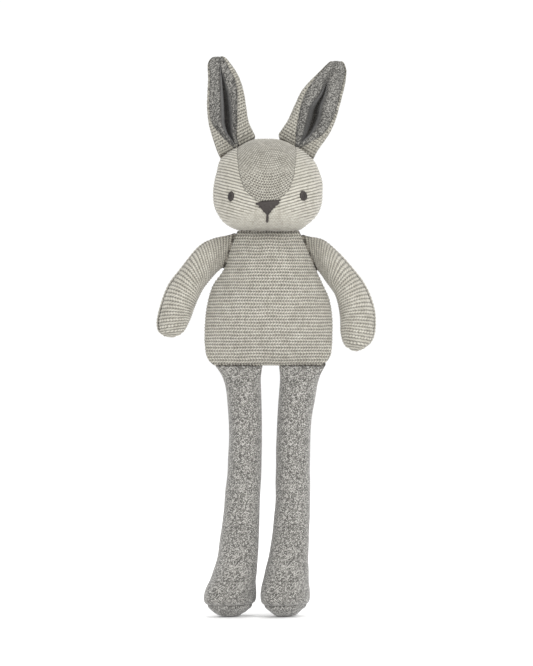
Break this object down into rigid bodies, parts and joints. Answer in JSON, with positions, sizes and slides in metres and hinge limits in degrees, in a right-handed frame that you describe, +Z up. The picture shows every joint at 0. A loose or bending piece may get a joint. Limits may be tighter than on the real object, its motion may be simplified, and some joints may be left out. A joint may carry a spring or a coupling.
{
  "type": "stuffed rabbit toy",
  "caption": "Slim stuffed rabbit in ridged oatmeal knit with long grey jersey legs, folded upright ears, hanging arms and a stitched face.",
  "frame": {"origin": "on the floor under the middle of the standing toy", "axes": "+Z up along the body, the face looks towards -Y, +X is the toy's own left side"},
  "size_m": [0.197, 0.0896, 0.503],
  "materials": {
    "oatmeal_knit": "matte",
    "knit_brow": "matte",
    "grey_jersey": "matte",
    "grey_lining": "matte",
    "face_thread": "matte",
    "sewing_thread": "matte",
    "filling": "matte"
  },
  "bodies": {
    "torso": {"torso_front": "oatmeal_knit", "torso_back": "oatmeal_knit", "torso_filling": "filling", "shoulder_left_stitch": "sewing_thread", "shoulder_right_stitch": "sewing_thread", "hip_left_stitch": "sewing_thread", "hip_right_stitch": "sewing_thread"},
    "neck": {"neck_stitch": "sewing_thread"},
    "head": {"head_side_left": "oatmeal_knit", "head_side_right": "oatmeal_knit", "head_gusset": "knit_brow", "head_filling": "filling", "eye_left": "face_thread", "eye_right": "face_thread", "nose": "face_thread", "mouth_stitch": "face_thread", "ear_left_stitch": "sewing_thread", "ear_right_stitch": "sewing_thread"},
    "ear_left": {"ear_left_outer": "oatmeal_knit", "ear_left_inner": "grey_lining"},
    "ear_right": {"ear_right_outer": "oatmeal_knit", "ear_right_inner": "grey_lining"},
    "arm_left": {"arm_left_front": "oatmeal_knit", "arm_left_back": "oatmeal_knit", "arm_left_filling": "filling"},
    "arm_right": {"arm_right_front": "oatmeal_knit", "arm_right_back": "oatmeal_knit", "arm_right_filling": "filling"},
    "leg_left": {"leg_left_tube": "grey_jersey", "leg_left_sole": "grey_jersey", "leg_left_filling": "filling"},
    "leg_right": {"leg_right_tube": "grey_jersey", "leg_right_sole": "grey_jersey", "leg_right_filling": "filling"}
  },
  "joints": [
    {"name": "head_nod", "type": "hinge", "parent": "torso", "child": "neck", "pos_m": [0.0022, 0, 0.3465], "axis": [1, 0, 0], "range_deg": [-15, 18], "stiffness_Nm_per_rad": 0.25},
    {"name": "head_turn", "type": "hinge", "parent": "neck", "child": "head", "pos_m": [0.0022, 0, 0.3465], "axis": [0, 0, 1], "range_deg": [-30, 30], "stiffness_Nm_per_rad": 0.12},
    {"name": "ear_left_flop", "type": "hinge", "parent": "head", "child": "ear_left", "pos_m": [0.02715, 0, 0.4203], "axis": [0.8697, 0, -0.4937], "range_deg": [-45, 60], "stiffness_Nm_per_rad": 0.02},
    {"name": "ear_right_flop", "type": "hinge", "parent": "head", "child": "ear_right", "pos_m": [-0.0263, 0, 0.4212], "axis": [0.8863, 0, 0.4632], "range_deg": [-45, 60], "stiffness_Nm_per_rad": 0.02},
    {"name": "arm_left_swing", "type": "hinge", "parent": "torso", "child": "arm_left", "pos_m": [0.0398, 0, 0.32725], "axis": [0.3734, 0, -0.9277], "range_deg": [-40, 65], "stiffness_Nm_per_rad": 0.02},
    {"name": "arm_right_swing", "type": "hinge", "parent": "torso", "child": "arm_right", "pos_m": [-0.03365, 0, 0.32895], "axis": [0.3216, 0, 0.9469], "range_deg": [-40, 65], "stiffness_Nm_per_rad": 0.02},
    {"name": "leg_left_swing", "type": "hinge", "parent": "torso", "child": "leg_left", "pos_m": [0.033, 0, 0.226], "axis": [-1, 0, 0], "range_deg": [-40, 90]},
    {"name": "leg_right_swing", "type": "hinge", "parent": "torso", "child": "leg_right", "pos_m": [-0.0245, 0, 0.226], "axis": [-1, 0, 0], "range_deg": [-40, 90]}
  ]
}
